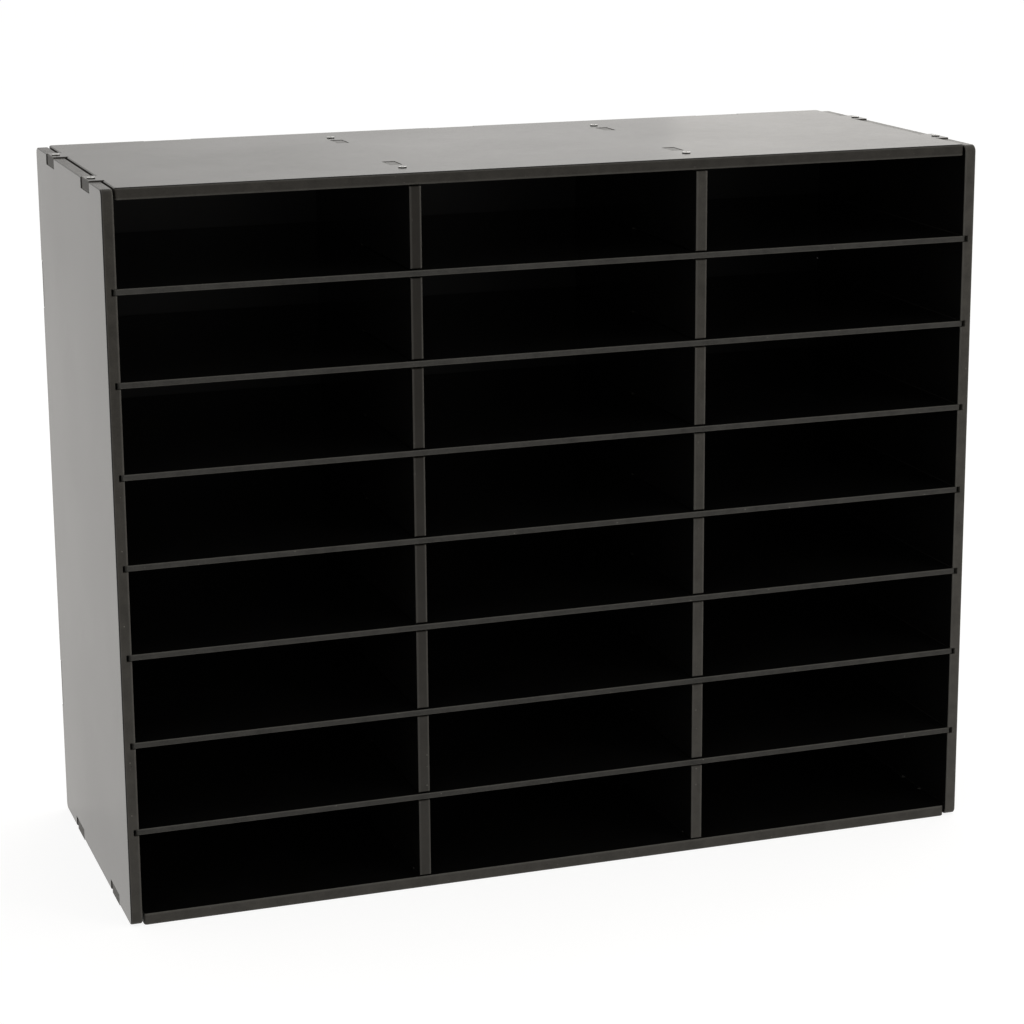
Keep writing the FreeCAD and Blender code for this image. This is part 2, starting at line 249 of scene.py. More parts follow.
@dataclass
class SharedEffects:
    """The node groups that the finishes share, each built once."""

    cloud_detail: float = 2.0
    cloud_span: Span = (0.3, 0.7)
    grain_detail: float = 1.5
    grain_breakup: float = 0.6
    grain_span: Span = (0.32, 0.68)
    fleck_faintest: float = 0.4
    fleck_span: Span = (0.05, 0.4)
    ripple_detail: float = 1.0
    dust_detail: float = 4.0
    dust_breakup: float = 0.7
    dust_span: Span = (0.42, 0.75)
    groups: dict[Effect, bpy.types.NodeTree] = field(default_factory=dict)

    def __post_init__(self) -> None:
        """Build every group."""
        makers = {
            Effect.CLOUD: self._cloud,
            Effect.GRAIN: self._grain,
            Effect.FLECKS: self._flecks,
            Effect.RIPPLE: self._ripple,
            Effect.DUST: self._dust,
        }
        for effect, make in makers.items():
            self.groups[effect] = make()

    def __getitem__(self, effect: Effect) -> bpy.types.NodeTree:
        """Give the node group of an effect."""
        return self.groups[effect]

    @staticmethod
    def _start(
        effect: Effect, numbers: list[str], results: list[str]
    ) -> tuple[Wiring, bpy.types.NodeOutputs, bpy.types.NodeInputs]:
        """Start a group that has a place to read and numbers to set.

        Args:
            effect: The effect, whose name the group gets.
            numbers: The names of its numbers.
            results: The names of the values that it gives.

        Returns:
            The group's wiring, what comes into it and what goes out of it.
        """
        tree = bpy.data.node_groups.new(effect.value, "ShaderNodeTree")
        tree.interface.new_socket("Place", in_out="INPUT", socket_type="NodeSocketVector")
        for name in numbers:
            tree.interface.new_socket(name, in_out="INPUT", socket_type="NodeSocketFloat")
        for name in results:
            tree.interface.new_socket(name, in_out="OUTPUT", socket_type="NodeSocketFloat")
        wiring = Wiring(tree)
        return wiring, wiring.add("NodeGroupInput").outputs, wiring.add("NodeGroupOutput").inputs

    def _cloud(self) -> bpy.types.NodeTree:
        """Build soft patches, as pressing and handling leave on a satin film.

        Returns:
            The node group.
        """
        wiring, come, go = self._start(Effect.CLOUD, ["Patch Size", "Breakup"], ["Cloud"])
        noise = wiring.noise(come["Place"], come["Patch Size"], self.cloud_detail, come["Breakup"])
        wiring.feed(go["Cloud"], wiring.ramp(noise, self.cloud_span))
        return wiring.tree

    def _grain(self) -> bpy.types.NodeTree:
        """Build the fine roughness of pressed fibre, as a tone and as a height.

        Returns:
            The node group.
        """
        wiring, come, go = self._start(Effect.GRAIN, ["Grain Size"], ["Tone", "Height"])
        noise = wiring.noise(come["Place"], come["Grain Size"], self.grain_detail, self.grain_breakup)
        wiring.feed(go["Tone"], wiring.ramp(noise, self.grain_span))
        wiring.feed(go["Height"], noise)
        return wiring.tree

    def _flecks(self) -> bpy.types.NodeTree:
        """Build scattered round flecks, of which each cell of their spacing has one or, mostly, none.

        Returns:
            The node group.
        """
        wiring, come, go = self._start(Effect.FLECKS, ["Spacing", "Fleck Size", "Share"], ["Mask"])
        scale = wiring.over(1.0, come["Spacing"])
        cells = wiring.add("TexVoronoi", {"Vector": come["Place"], "Scale": scale}).outputs
        reach = wiring.times(cells["Distance"], come["Spacing"])
        near = wiring.minus(1.0, wiring.over(reach, come["Fleck Size"]), clamp=True)
        chance, strength, _ = wiring.add("SeparateColor", {0: cells["Color"]}).outputs
        faded = wiring.times(near, wiring.plus(strength, self.fleck_faintest))
        chosen = wiring.maths("LESS_THAN", chance, come["Share"])
        wiring.feed(go["Mask"], wiring.times(wiring.ramp(faded, self.fleck_span), chosen))
        return wiring.tree

    def _ripple(self) -> bpy.types.NodeTree:
        """Build the even ripple that a router cutter leaves along a board's edge.

        Returns:
            The node group.
        """
        wiring, come, go = self._start(Effect.RIPPLE, ["Pitch", "Unevenness"], ["Height"])
        values = {
            "Vector": come["Place"],
            "Scale": wiring.over(WAVE_LENGTH, come["Pitch"]),
            "Distortion": come["Unevenness"],
            "Detail": self.ripple_detail,
        }
        waves = wiring.add("TexWave", values, bands_direction="DIAGONAL")
        wiring.feed(go["Height"], waves.outputs["Fac"])
        return wiring.tree

    def _dust(self) -> bpy.types.NodeTree:
        """Build the thin dust that settles on surfaces that look up.

        Returns:
            The node group.
        """
        wiring, come, go = self._start(Effect.DUST, ["Amount", "Patch Size"], ["Mask"])
        noise = wiring.noise(come["Place"], come["Patch Size"], self.dust_detail, self.dust_breakup)
        lying = wiring.times(wiring.looks_up(), wiring.ramp(noise, self.dust_span))
        wiring.feed(go["Mask"], wiring.times(lying, come["Amount"]))
        return wiring.tree


# ------------------------------------------------------------------------------------------------
# Finishes


def started(name: str) -> tuple[bpy.types.Material, Wiring, Socket]:
    """Start a material that has no nodes but the one that gives the place on the object.

    Args:
        name: The material's name.

    Returns:
        The material, its wiring, and the output that gives the place.
    """
    material = bpy.data.materials.new(name)
    material.use_nodes = True
    material.node_tree.nodes.clear()
    wiring = Wiring(material.node_tree)
    return material, wiring, wiring.add("TexCoord").outputs["Object"]


def shown(wiring: Wiring, shader: Socket) -> None:
    """Join a shader to its material's output."""
    wiring.add("OutputMaterial", {"Surface": shader})


@dataclass(frozen=True)
class FilmFace:
    """The satin film on a board's broad faces: deep black, with a soft mottle and a faint orange peel."""

    name: str
    deep: Colour = (0.0030, 0.0030, 0.0030, 1.0)
    pale: Colour = (0.0050, 0.0049, 0.0047, 1.0)
    dust: Colour = (0.16, 0.155, 0.145, 1.0)
    rough: Span = (0.15, 0.2)
    refraction: float = 1.29
    cloud_patch: float = 140 * MM
    cloud_breakup: float = 0.55
    cloud_share: float = 0.7
    fine_patch: float = 9 * MM
    fine_breakup: float = 0.7
    peel_size: float = 0.9 * MM
    peel_height: float = 0.0012 * MM
    peel_strength: float = 0.5
    dust_amount: float = 0.006
    dust_patch: float = 50 * MM
    speck_spacing: float = 26 * MM
    speck_size: float = 0.45 * MM
    speck_share: float = 0.1
    speck_strength: float = 0.25

    def make(self, effects: SharedEffects) -> bpy.types.Material:
        """Build the material.

        Args:
            effects: The shared effects.

        Returns:
            The material.
        """
        material, wiring, place = started(self.name)
        cloud, fine = (
            wiring.effect(effects[Effect.CLOUD], Place=place, Patch_Size=patch, Breakup=breakup)["Cloud"]
            for patch, breakup in (
                (self.cloud_patch, self.cloud_breakup),
                (self.fine_patch, self.fine_breakup),
            )
        )
        mottle = wiring.weigh(self.cloud_share, cloud, fine)
        settled = self._settled(wiring, place, effects)
        tone = wiring.blend(settled, wiring.blend(mottle, self.deep, self.pale), self.dust)
        rough = wiring.plus(wiring.ramp(mottle, WHOLE, self.rough), settled)
        peel = wiring.effect(effects[Effect.GRAIN], Place=place, Grain_Size=self.peel_size)
        normal = wiring.bump(peel["Height"], self.peel_strength, self.peel_height)
        values = {"Base Color": tone, "Roughness": rough, "IOR": self.refraction, "Normal": normal}
        shown(wiring, wiring.add("BsdfPrincipled", values).outputs[0])
        return material

    def _settled(self, wiring: Wiring, place: Socket, effects: SharedEffects) -> Socket:
        """Give how much dust lies on the film, thin all over and thicker in specks.

        Args:
            wiring: The material's wiring.
            place: The output with the place on the object.
            effects: The shared effects.

        Returns:
            The output with the share of dust.
        """
        dust = wiring.effect(
            effects[Effect.DUST], Place=place, Amount=self.dust_amount, Patch_Size=self.dust_patch
        )
        specks = wiring.effect(
            effects[Effect.FLECKS],
            Place=place,
            Spacing=self.speck_spacing,
            Fleck_Size=self.speck_size,
            Share=self.speck_share,
        )
        thick = wiring.times(specks["Mask"], self.speck_strength)
        return wiring.plus(dust["Mask"], thick, clamp=True)


@dataclass(frozen=True)
class RoutedEdge:
    """The cut edge of a black fibreboard: matte, darkened to a depth set for each board, and paler at its
    rims as a painted highlight.

    It has fine grain, a cutter's ripple, pale flecks and small pits, whose darkness is painted shade. It is
    smoother where it looks up, and painted paler towards the foot as painted light. The ripple's height and
    the pits' depth are shares of the grain's.
    """

    name: str
    dark: Colour
    light: Colour
    # The rims' paler colour is a painted highlight, where the eased rims catch light.
    rim: Colour
    # The dark brown that a board's edge darkness leads to, partly painted shade.
    edge_darkness: Colour = (0.0028, 0.0018, 0.0005, 1.0)
    # Painted light: a paler colour towards the foot.
    foot_light: Colour = (0.070, 0.0675, 0.0630, 1.0)
    fleck: Colour = (0.15, 0.144, 0.132, 1.0)
    # Painted shade: the near-black colour inside the pits.
    pit_shade: Colour = (0.002, 0.002, 0.002, 1.0)
    specular: float = 0.2
    rough: Span = (0.44, 0.58)
    rubbed_smooth: float = 0.26
    rubbed_cloud: Span = (0.8, 1.0)
    # The rims' painted highlight: where it starts, how the grain breaks it, and how much fainter it is at the
    # low broad face.
    rim_highlight_start: float = 0.6
    rim_highlight_grain: Span = (0.6, 1.0)
    rim_highlight_lean: float = 0.4
    rim_highlight_turn: Span = (0.4, 0.6)
    # How much painted light shows at the foot, between which heights, and how patchy it is.
    foot_light_share: float = 0.36
    foot_light_heights: Span = (0.06, 0.42)
    foot_light_cloud: Span = (0.7, 1.0)
    cloud_patch: float = 16 * MM
    cloud_breakup: float = 0.75
    cloud_share: float = 0.55
    grain_size: float = 1.1 * MM
    grain_height: float = 0.02 * MM
    grain_strength: float = 0.6
    ripple_pitch: float = 8.6394 * MM
    ripple_unevenness: float = 1.5
    ripple_height: float = 0.35
    fleck_spacing: float = 6 * MM
    fleck_size: float = 0.55 * MM
    fleck_share: float = 0.28
    pit_spacing: float = 5 * MM
    pit_size: float = 0.6 * MM
    pit_share: float = 0.12
    pit_shade_strength: float = 0.8
    pit_depth: float = 2.0

    def make(self, effects: SharedEffects) -> bpy.types.Material:
        """Build the material.

        Args:
            effects: The shared effects.

        Returns:
            The material.
        """
        material, wiring, place = started(self.name)
        cloud = wiring.effect(
            effects[Effect.CLOUD], Place=place, Patch_Size=self.cloud_patch, Breakup=self.cloud_breakup
        )["Cloud"]
        grain = wiring.effect(effects[Effect.GRAIN], Place=place, Grain_Size=self.grain_size)
        ripple = wiring.effect(
            effects[Effect.RIPPLE], Place=place, Pitch=self.ripple_pitch, Unevenness=self.ripple_unevenness
        )["Height"]
        flecks, pits = (
            wiring.effect(
                effects[Effect.FLECKS], Place=place, Spacing=spacing, Fleck_Size=size, Share=share
            )["Mask"]
            for spacing, size, share in (
                (self.fleck_spacing, self.fleck_size, self.fleck_share),
                (self.pit_spacing, self.pit_size, self.pit_share),
            )
        )
        lit_tone = self._tone_with_painted_light(wiring, place, cloud, grain["Tone"])
        # The pits darkened with painted shade.
        pit_shaded = wiring.blend(wiring.times(pits, self.pit_shade_strength), lit_tone, self.pit_shade)
        tone = wiring.blend(flecks, pit_shaded, self.fleck)
        rough = wiring.minus(wiring.ramp(grain["Tone"], WHOLE, self.rough), self._rubbed(wiring, cloud))
        raised = wiring.plus(grain["Height"], wiring.times(ripple, self.ripple_height))
        height = wiring.minus(raised, wiring.times(pits, self.pit_depth))
        normal = wiring.bump(height, self.grain_strength, self.grain_height)
        values = {
            "Base Color": tone,
            "Roughness": rough,
            "Specular IOR Level": self.specular,
            "Normal": normal,
        }
        shown(wiring, wiring.add("BsdfPrincipled", values).outputs[0])
        return material

    def _tone_with_painted_light(self, wiring: Wiring, place: Socket, cloud: Socket, grain: Socket) -> Socket:
        """Give the fibre's colour, darkened for each board, with a painted highlight at its rims and painted
        light towards the foot.

        Args:
            wiring: The material's wiring.
            place: The output with the place on the object.
            cloud: The output with soft patches.
            grain: The output with the grain's tone.

        Returns:
            The output with the colour.
        """
        fibre = wiring.blend(wiring.weigh(self.cloud_share, cloud, grain), self.dark, self.light)
        edge_darkness = wiring.add("Attribute", attribute_name=EDGE_DARKNESS_ATTRIBUTE).outputs["Fac"]
        darkened = wiring.blend(edge_darkness, fibre, self.edge_darkness)
        rim_highlighted = wiring.blend(self._rim_highlight_share(wiring, grain), darkened, self.rim)
        return wiring.blend(self._foot_light_share(wiring, place, cloud), rim_highlighted, self.foot_light)

    def _rim_highlight_share(self, wiring: Wiring, grain: Socket) -> Socket:
        """Give how much of the rims' painted highlight shows, more at the upper broad face (the right one of
        an upright board), where more light falls, than at the lower one.

        Args:
            wiring: The material's wiring.
            grain: The output with the grain's tone.

        Returns:
            The output with the share.
        """
        across = wiring.add("Attribute", attribute_name=ACROSS_ATTRIBUTE).outputs["Fac"]
        from_middle = wiring.maths("ABSOLUTE", wiring.minus(wiring.times(across, 2.0), 1.0))
        rim = wiring.ramp(from_middle, (self.rim_highlight_start, 1.0))
        broken = wiring.times(rim, wiring.ramp(grain, WHOLE, self.rim_highlight_grain))
        return wiring.times(broken, wiring.ramp(across, self.rim_highlight_turn, (1.0 - self.rim_highlight_lean, 1.0)))

    def _rubbed(self, wiring: Wiring, cloud: Socket) -> Socket:
        """Give how much smoother an edge is that looks up, where hands and papers rub it."""
        up = wiring.looks_up((0.0, self.rubbed_smooth))
        return wiring.times(up, wiring.ramp(cloud, WHOLE, self.rubbed_cloud))

    def _foot_light_share(self, wiring: Wiring, place: Socket, cloud: Socket) -> Socket:
        """Give how much of the painted light towards the foot shows, from none high up to the most at the
        foot.
        """
        low = wiring.ramp(wiring.part(place, Axis.UPRIGHT), self.foot_light_heights, (self.foot_light_share, 0.0))
        return wiring.times(low, wiring.ramp(cloud, WHOLE, self.foot_light_cloud))


@dataclass(frozen=True)
class ZincPlate:
    """The bright zinc of the screws, a little cloudy, or the same zinc made dark as painted shade."""

    name: str
    bright: Colour = (0.93, 0.93, 0.92, 1.0)
    dull: Colour = (0.80, 0.80, 0.79, 1.0)
    rough: Span = (0.1, 0.2)
    cloud_patch: float = 2.8 * MM
    cloud_breakup: float = 0.6
    grain_size: float = 0.16 * MM
    grain_height: float = 0.006 * MM
    grain_strength: float = 0.3

    def make(self, effects: SharedEffects) -> bpy.types.Material:
        """Build the material.

        Args:
            effects: The shared effects.

        Returns:
            The material.
        """
        material, wiring, place = started(self.name)
        cloud = wiring.effect(
            effects[Effect.CLOUD], Place=place, Patch_Size=self.cloud_patch, Breakup=self.cloud_breakup
        )["Cloud"]
        grain = wiring.effect(effects[Effect.GRAIN], Place=place, Grain_Size=self.grain_size)
        values = {
            "Base Color": wiring.blend(cloud, self.bright, self.dull),
            "Metallic": 1.0,
            "Roughness": wiring.ramp(cloud, WHOLE, self.rough),
            "Normal": wiring.bump(grain["Height"], self.grain_strength, self.grain_height),
        }
        shown(wiring, wiring.add("BsdfPrincipled", values).outputs[0])
        return material


@dataclass(frozen=True)
class Finishes:
    """The sorter's materials, in a list for each kind of piece, in the order of its finishes."""

    board: list[bpy.types.Material]
    back: list[bpy.types.Material]
    shelf: list[bpy.types.Material]
    screw: list[bpy.types.Material]

    @classmethod
    def mixed(cls, effects: SharedEffects) -> "Finishes":
        """Make all the materials.

        Args:
            effects: The shared effects.

        Returns:
            The materials.
        """
        board_edge = RoutedEdge(
            "board_edge",
            dark=(0.0190, 0.0179, 0.0156, 1.0),
            light=(0.0600, 0.0567, 0.0503, 1.0),
            rim=(0.088, 0.0862, 0.0800, 1.0),
        )
        # A paler copy of the board edge: a painted highlight on the eased arrises.
        board_arris_highlight = RoutedEdge(
            "board_arris_highlight",
            dark=(0.034, 0.0328, 0.0292, 1.0),
            light=(0.068, 0.0663, 0.0602, 1.0),
            rim=(0.084, 0.0820, 0.0750, 1.0),
            pit_share=0.05,
        )
        shelf_edge = RoutedEdge(
            "shelf_edge",
            dark=(0.0136, 0.0133, 0.0122, 1.0),
            light=(0.0406, 0.0397, 0.0369, 1.0),
            rim=(0.080, 0.0790, 0.0755, 1.0),
            rim_highlight_lean=0.1,
            foot_light_share=0.0,
        )
        # A paler copy of the shelf edge: a painted highlight on the eased arrises.
        shelf_arris_highlight = RoutedEdge(
            "shelf_arris_highlight",
            dark=(0.027, 0.0264, 0.0241, 1.0),
            light=(0.055, 0.0540, 0.0497, 1.0),
            rim=(0.070, 0.0690, 0.0640, 1.0),
            pit_share=0.05,
            foot_light_share=0.0,
        )
        # Painted shade: the zinc made dark for the recess and under the head.
        zinc_recess_shade = ZincPlate(
            "zinc_recess_shade", bright=(0.24, 0.24, 0.23, 1.0), dull=(0.10, 0.10, 0.095, 1.0), rough=(0.4, 0.55)
        )
        back_film = FilmFace("back_film", refraction=1.22, rough=(0.34, 0.44))
        cut = [board_edge.make(effects), board_arris_highlight.make(effects)]
        return cls(
            board=[FilmFace("board_film").make(effects), *cut],
            back=[back_film.make(effects), *cut],
            shelf=[finish.make(effects) for finish in (FilmFace("shelf_film"), shelf_edge, shelf_arris_highlight)],
            screw=[ZincPlate("zinc_plate").make(effects), zinc_recess_shade.make(effects)],
        )


# ------------------------------------------------------------------------------------------------
# Pieces


def placed(
    bm: bmesh.types.BMesh, name: str, materials: list[bpy.types.Material], body: str, slot: Slot, node: str
) -> bpy.types.Object:
    """Make a finished piece of a mesh, riding on its body in place of its node.

    Args:
        bm: The mesh, in place. It is freed.
        name: The piece's name.
        materials: Its materials.
        body: The body that it rides on.
        slot: The record's slot for its finish. It is not used.
        node: The node that it stands for.

    Returns:
        The piece's object.
    """
    mesh = bpy.data.meshes.new(name)
    bm.to_mesh(mesh)
    bm.free()
    for material in materials:
        mesh.materials.append(material)
    piece = bpy.data.objects.new(name, mesh)
    bpy.context.scene.collection.objects.link(piece)
    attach(piece, body)
    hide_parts(node)
    return piece


def smoothed(bm: bmesh.types.BMesh, sharpest: float) -> None:
    """Shade a mesh smooth, but for the edges that turn more than an angle.

    Args:
        bm: The mesh.
        sharpest: The angle, in radians.
    """
    for face in bm.faces:
        face.smooth = True
    for edge in bm.edges:
        edge.smooth = edge.calc_face_angle(math.pi) < sharpest


@dataclass
class Board:
    """One flat board: its solid, merged, with its sharp edges rounded a little and its surfaces told apart.

    The film may be wrapped over the arris of the board's lower broad face (-1) or of its upper one (1). The
    edge darkness is how much darker its cut edges are painted, from nought to one, partly as painted shade.
    """

    node: str
    body: str
    thickness: Axis
    slot: Slot
    wrapped: int = 0
    edge_darkness: float = 0.0
    merge_reach: float = 0.12 * MM
    flat_angle: float = math.radians(0.5)
    sharp_angle: float = math.radians(36)
    edge_round: float = 0.22 * MM
    round_steps: int = 2
    arris_reach: float = 1.0 * MM
    film_facing: float = 0.995
    edge_facing: float = 0.25

    def shape(self) -> bmesh.types.BMesh:
        """Merge a copy of the board's solid and round its edges.

        Returns:
            The board's mesh, in place.
        """
        bm = bmesh.new()
        bm.from_mesh(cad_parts[self.node].data)
        bmesh.ops.remove_doubles(bm, verts=bm.verts, dist=self.merge_reach)
        bmesh.ops.dissolve_limit(
            bm, angle_limit=self.flat_angle, verts=bm.verts, edges=bm.edges, delimit={"NORMAL"}
        )
        sharp = [edge for edge in bm.edges if edge.calc_face_angle(0) > self.sharp_angle]
        bmesh.ops.bevel(
            bm,
            geom=sharp,
            offset=self.edge_round,
            offset_type="OFFSET",
            segments=self.round_steps,
            profile=0.5,
            affect="EDGES",
            clamp_overlap=True,
            material=-1,
        )
        return bm

    def skin_of(self, face: bmesh.types.BMFace, low: float, high: float) -> Skin:
        """Tell which finish a face has.

        Args:
            face: The face.
            low: The board's lower broad face, along its thickness.
            high: The board's upper broad face, along its thickness.

        Returns:
            The finish.
        """
        axis = self.thickness.value
        facing = abs(face.normal[axis])
        depths = [min(corner.co[axis] - low, high - corner.co[axis]) for corner in face.verts]
        if max(depths) > self.arris_reach or facing < self.edge_facing:
            return Skin.ROUTED
        wrapped = face.normal[axis] * self.wrapped > 0
        return Skin.FILM if wrapped or facing > self.film_facing else Skin.ARRIS_HIGHLIGHT

    def build(self, materials: list[bpy.types.Material]) -> bpy.types.Object:
        """Build the board.

        Args:
            materials: The materials of its film, its cut edges and its eased arrises, which are painted paler
                as a highlight.

        Returns:
            The board's object.
        """
        bm = self.shape()
        low, high = (corner[self.thickness.value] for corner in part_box(self.node))
        for face in bm.faces:
            face.material_index = self.skin_of(face, low, high).value
        across = bm.verts.layers.float.new(ACROSS_ATTRIBUTE)
        edge_darkness = bm.verts.layers.float.new(EDGE_DARKNESS_ATTRIBUTE)
        for corner in bm.verts:
            corner[across] = (corner.co[self.thickness.value] - low) / (high - low)
            corner[edge_darkness] = self.edge_darkness
        smoothed(bm, self.sharp_angle)
        count = len(bm.faces)
        board = placed(bm, self.node + "_board", materials, self.body, self.slot, self.node)
        weighted = board.modifiers.new("flat_faces", "WEIGHTED_NORMAL")
        weighted.keep_sharp = True
        log.info("%s: %d faces", board.name, count)
        return board


@dataclass
class CountersunkScrew:
    """A zinc countersunk screw with a cross recess, made head up with the top of its head at the origin."""

    length: float
    head_radius: float = 3.4 * MM
    rim_height: float = 0.6 * MM
    rim_round: float = 0.14 * MM
    head_height: float = 2.3 * MM
    core_radius: float = 1.15 * MM
    thread_radius: float = 1.7 * MM
    thread_foot: float = 0.95 * MM
    thread_pitch: float = 1.8 * MM
    thread_width: float = 0.55 * MM
    tip_length: float = 4.0 * MM
    recess_width: float = 0.95 * MM
    recess_reach: float = 1.95 * MM
    recess_depth: float = 1.5 * MM
    recess_taper: float = 0.42
    recess_round: float = 0.07 * MM
    around: int = 40
    steps_per_turn: int = 18
    round_steps: int = 2
    sharp_angle: float = math.radians(30)
    merge_reach: float = 0.001 * MM
    level_reach: float = 1e-6 * MM

    def _body(self, bm: bmesh.types.BMesh) -> None:
        """Spin the head's cone, the core and the point from half an outline.

        Args:
            bm: The mesh to add to.
        """
        outline = (
            (self.head_radius, 0.0),
            (self.head_radius, -self.rim_height),
            (self.core_radius, -self.head_height - self.rim_height),
            (self.core_radius, self.tip_length - self.length),
            (0.0, -self.length),
        )
        corners = [bm.verts.new((radius, 0.0, height)) for radius, height in outline]
        edges = [bm.edges.new(pair) for pair in zip(corners, corners[1:])]
        bmesh.ops.spin(
            bm,
            geom=corners + edges,
            cent=(0, 0, 0),
            axis=(0, 0, 1),
            angle=math.tau,
            steps=self.around,
            use_merge=True,
        )
        bmesh.ops.remove_doubles(bm, verts=bm.verts, dist=self.merge_reach)
        # The head's side and underside get the dark zinc: painted shade.
        for face in bm.faces:
            in_head = face.calc_center_median().z > -self.head_height
            face.material_index = (Plating.PAINTED_SHADE if in_head else Plating.BRIGHT).value

    def _cross(self, bm: bmesh.types.BMesh) -> list[bmesh.types.BMFace]:
        """Make the flat cross of the recess's mouth, from a square and an arm on each of its sides.

        Args:
            bm: The mesh to add to.

        Returns:
            The cross's faces.
        """
        square = bmesh.ops.create_grid(bm, x_segments=1, y_segments=1, size=self.recess_width / 2)
        sides = list(dict.fromkeys(edge for corner in square["verts"] for edge in corner.link_edges))
        for side in sides:
            middle = (side.verts[0].co + side.verts[1].co) / 2
            arm = bmesh.ops.extrude_edge_only(bm, edges=[side])
            tips = [item for item in arm["geom"] if isinstance(item, bmesh.types.BMVert)]
            outward = middle.normalized() * (self.recess_reach - self.recess_width / 2)
            bmesh.ops.translate(bm, verts=tips, vec=outward)
        level = self.level_reach
        return [face for face in bm.faces if all(abs(corner.co.z) < level for corner in face.verts)]

    def _head(self, bm: bmesh.types.BMesh) -> None:
        """Close the head with a flat face that has a cross recess sunk in it.

        Args:
            bm: The mesh to add to.
        """
        rim = [edge for edge in bm.edges if edge.is_boundary]
        cross = self._cross(bm)
        mouth = [edge for face in cross for edge in face.edges if edge.is_boundary]
        bmesh.ops.triangle_fill(bm, edges=rim + mouth, use_beauty=True)
        sunk = bmesh.ops.extrude_face_region(bm, geom=cross)
        floor = [item for item in sunk["geom"] if isinstance(item, bmesh.types.BMVert)]
        bmesh.ops.delete(bm, geom=[face for face in cross if face.is_valid], context="FACES_KEEP_BOUNDARY")
        bmesh.ops.scale(bm, verts=floor, vec=(self.recess_taper, self.recess_taper, 1.0))
        bmesh.ops.translate(bm, verts=floor, vec=(0, 0, -self.recess_depth))
        # The recess's walls and floor get the dark zinc: painted shade.
        for corner in floor:
            for face in corner.link_faces:
                face.material_index = Plating.PAINTED_SHADE.value
        for edges, offset in ((mouth, self.recess_round), (rim, self.rim_round)):
            bmesh.ops.bevel(
                bm,
                geom=[edge for edge in edges if edge.is_valid],
                offset=offset,
                segments=self.round_steps,
                profile=0.5,
                affect="EDGES",
                material=-1,
            )

    def _thread(self, bm: bmesh.types.BMesh) -> None:
        """Wind the thread round the core, from below the head to the start of the point.

        Args:
            bm: The mesh to add to.
        """
        top = -self.head_height - self.thread_pitch
        turns = (self.length - self.tip_length + top) / self.thread_pitch
        steps = round(turns * self.steps_per_turn)
        tooth = (
            (self.thread_foot, top + self.thread_width),
            (self.thread_radius, top),
            (self.thread_foot, top - self.thread_width),
        )
        corners = [bm.verts.new((radius, 0.0, height)) for radius, height in tooth]
        start = bm.faces.new(corners)
        wound = bmesh.ops.spin(
            bm,
            geom=list(start.edges),
            cent=(0, 0, 0),
            axis=(0, 0, 1),
            dvec=(0, 0, -self.thread_pitch / self.steps_per_turn),
            angle=math.tau * steps / self.steps_per_turn,
            steps=steps,
        )
        last = [item for item in wound["geom_last"] if isinstance(item, bmesh.types.BMEdge)]
        bmesh.ops.contextual_create(bm, geom=last)

    def shape(self) -> bmesh.types.BMesh:
        """Build the screw.

        Returns:
            The screw's mesh.
        """
        bm = bmesh.new()
        self._body(bm)
        self._head(bm)
        self._thread(bm)
        bmesh.ops.recalc_face_normals(bm, faces=bm.faces)
        smoothed(bm, self.sharp_angle)
        return bm


@dataclass
class ScrewPair:
    """Two screws that share a node, side by side along one direction."""

    node: str
    facing: Facing
    first_turn: float
    next_turn: float = 1.1

    def heads(self) -> list[Vector]:
        """Find the middle of the top of each screw's head.

        Returns:
            The two places.
        """
        low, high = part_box(self.node)
        reach = CountersunkScrew.head_radius
        middle = (low + high) / 2
        if self.facing is Facing.REAR:
            return [Vector((middle.x, high.y, low.z + reach)), Vector((middle.x, high.y, high.z - reach))]
        height = high.z if self.facing is Facing.UP else low.z
        return [Vector((middle.x, low.y + reach, height)), Vector((middle.x, high.y - reach, height))]

    def build(self, materials: list[bpy.types.Material]) -> list[bpy.types.Object]:
        """Build both screws.

        Args:
            materials: The zinc, and the dark zinc that is painted shade in the recess and under the head.

        Returns:
            The screws' objects.
        """
        rear = self.facing is Facing.REAR
        along = (Axis.DEEP if rear else Axis.UPRIGHT).value
        low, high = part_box(self.node)
        screws = []
        ends = ("low", "high") if rear else ("front", "rear")
        for number, (end, head) in enumerate(zip(ends, self.heads()), start=1):
            bm = CountersunkScrew(length=high[along] - low[along]).shape()
            own = Matrix.Rotation(self.first_turn + number * self.next_turn, 4, "Z")
            driven = Matrix.Translation(head) @ self.facing.turn() @ own
            bmesh.ops.transform(bm, verts=bm.verts, matrix=driven)
            screws.append(placed(bm, f"{self.node}_{end}", materials, CARCASS, Slot.ZINC, self.node))
        log.info("%s: %d screws", self.node, len(screws))
        return screws


